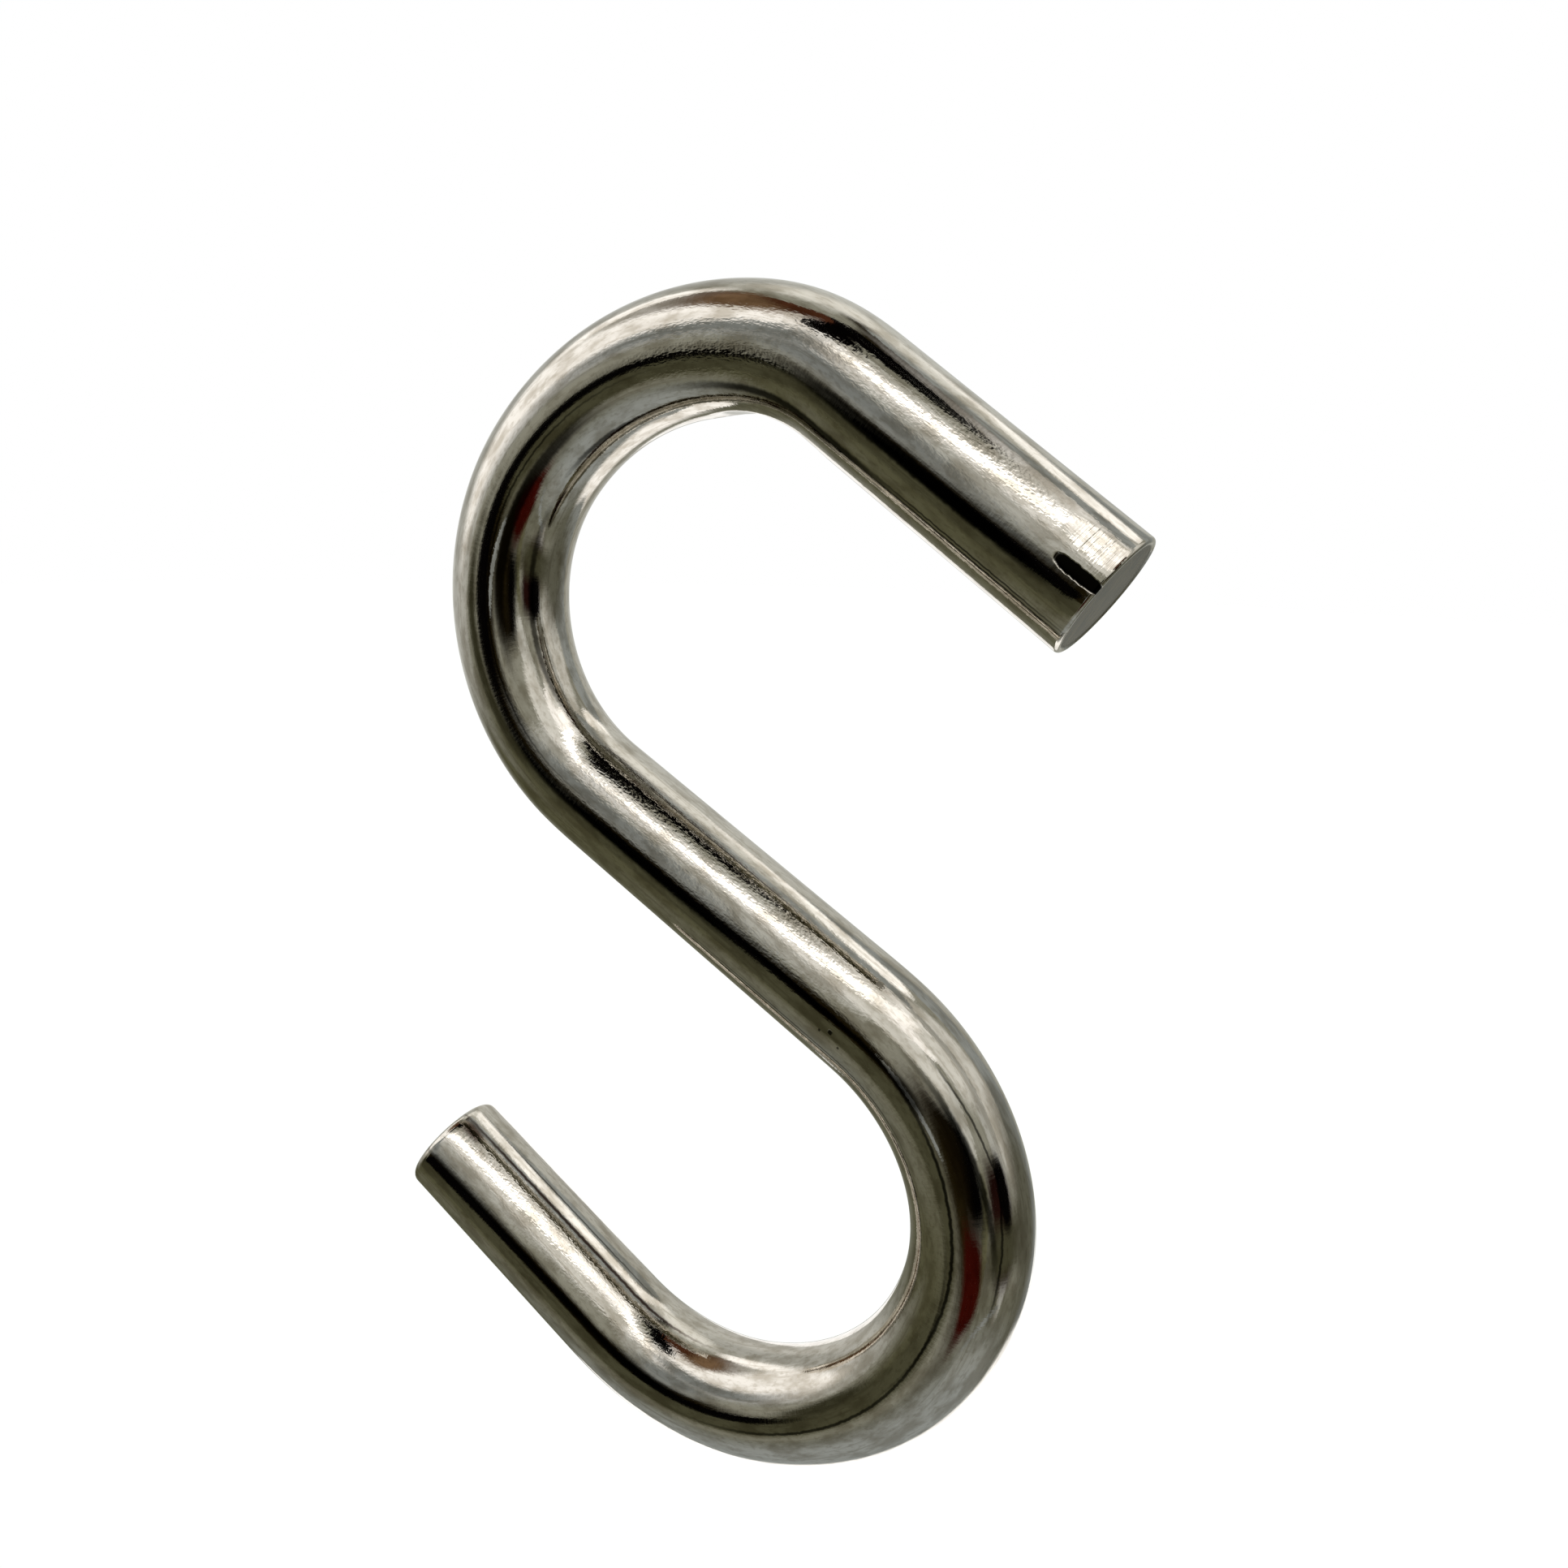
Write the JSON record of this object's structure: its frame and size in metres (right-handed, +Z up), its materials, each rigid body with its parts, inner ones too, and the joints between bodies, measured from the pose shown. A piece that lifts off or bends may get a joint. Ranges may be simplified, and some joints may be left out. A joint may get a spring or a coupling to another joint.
{
  "type": "s hook",
  "caption": "Open S hook bent from round steel wire, with two opposed hooks, a slanting shank and straight free legs cut square.",
  "frame": {"origin": "the upper saddle: the inside of the upper bend where it bears on what it hangs from", "axes": "+Z up along the line of the load, through both saddles; +X towards the free leg of the upper hook; +Y across the wire, so the hook lies in the XZ plane"},
  "size_m": [0.0332, 0.005, 0.0508],
  "materials": {
    "nickel_plate": "bright nickel plate over drawn steel wire, with fine drawn lines, polishing scratches and a slight orange peel"
  },
  "bodies": {
    "root": {"hook": "nickel_plate"}
  },
  "joints": []
}
